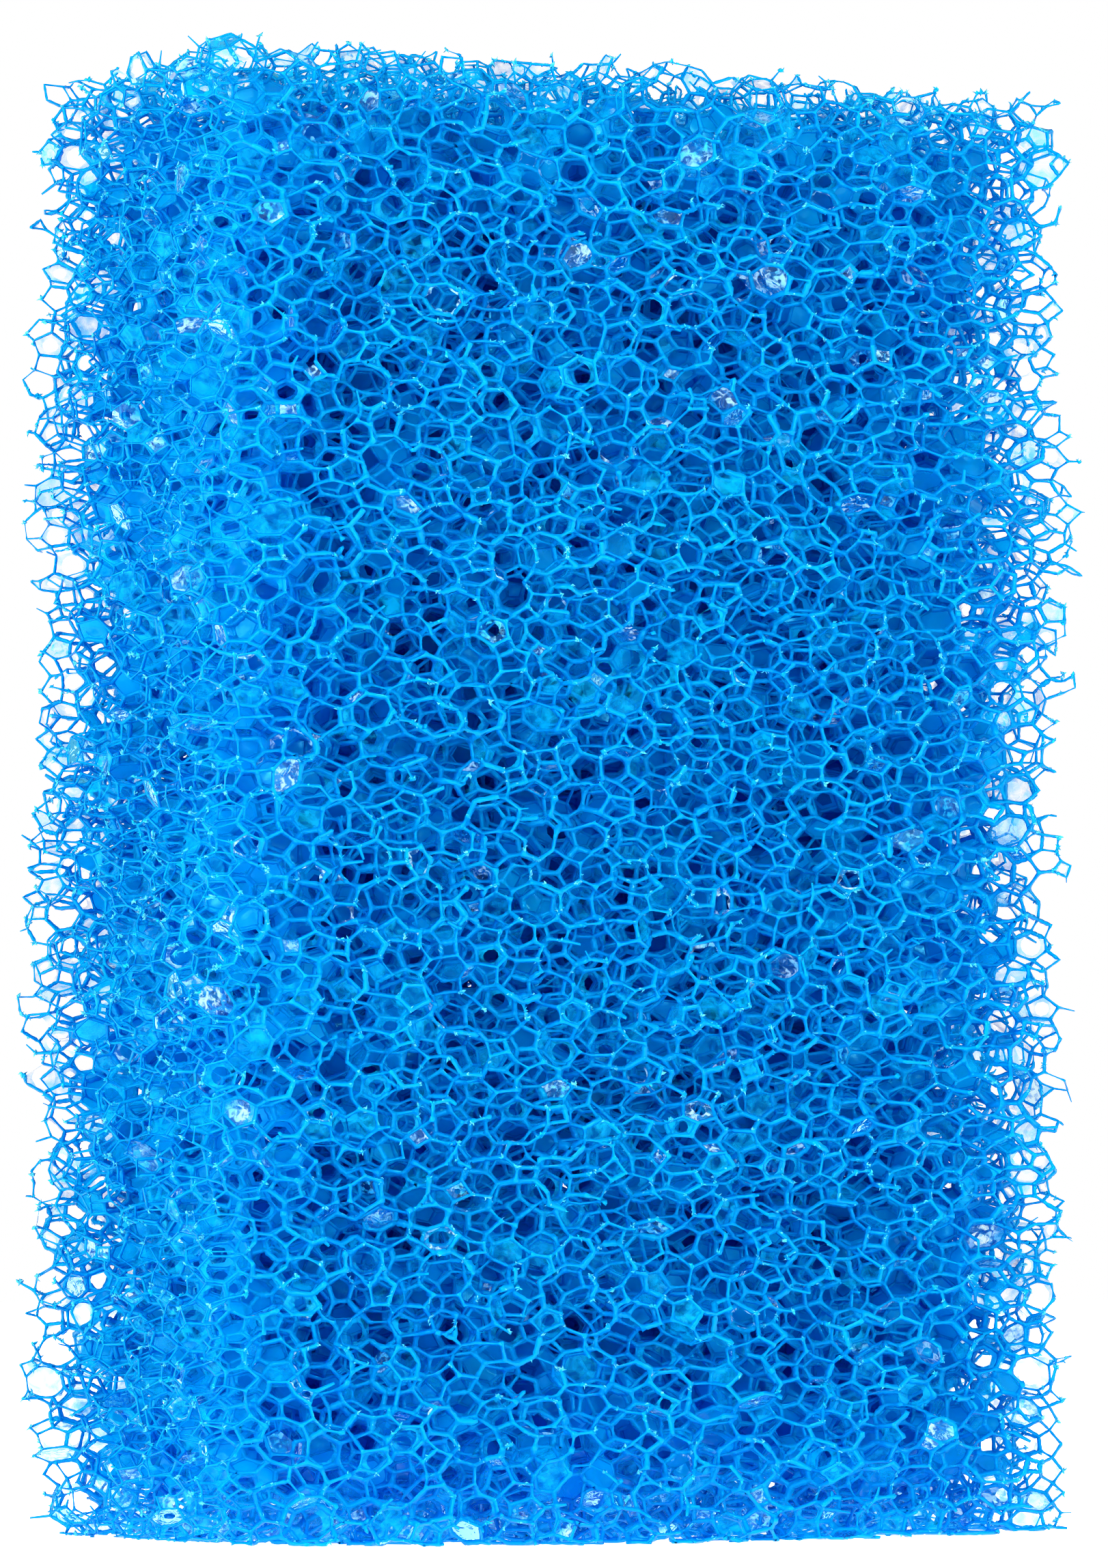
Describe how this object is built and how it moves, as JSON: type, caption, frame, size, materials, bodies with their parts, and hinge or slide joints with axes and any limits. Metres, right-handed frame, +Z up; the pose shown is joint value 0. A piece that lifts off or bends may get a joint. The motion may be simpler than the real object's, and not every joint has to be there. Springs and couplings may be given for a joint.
{
  "type": "filter sponge",
  "caption": "Upright rectangular block of coarse blue open-cell filter foam for an aquarium or pond sponge filter; it squeezes flat through its thickness and springs back.",
  "frame": {"origin": "centre of the bottom face, on the surface that the block stands on", "axes": "+X across the width, +Y through the thickness from the front face to the back face, +Z up along the height"},
  "size_m": [0.1, 0.045, 0.15],
  "materials": {
    "foam": "satin blue polyurethane, open coarse cells with bright cut edges and a few glossy clear cell films"
  },
  "bodies": {
    "root": {"foam_rear": "foam", "foam_core": "foam"},
    "front": {"foam_front": "foam"}
  },
  "joints": [
    {"name": "squeeze", "type": "slide", "parent": "root", "child": "front", "axis": [0, 1, 0], "range_m": [0, 0.027], "stiffness_N_per_m": 3000, "deforming": ["foam_core"]}
  ]
}
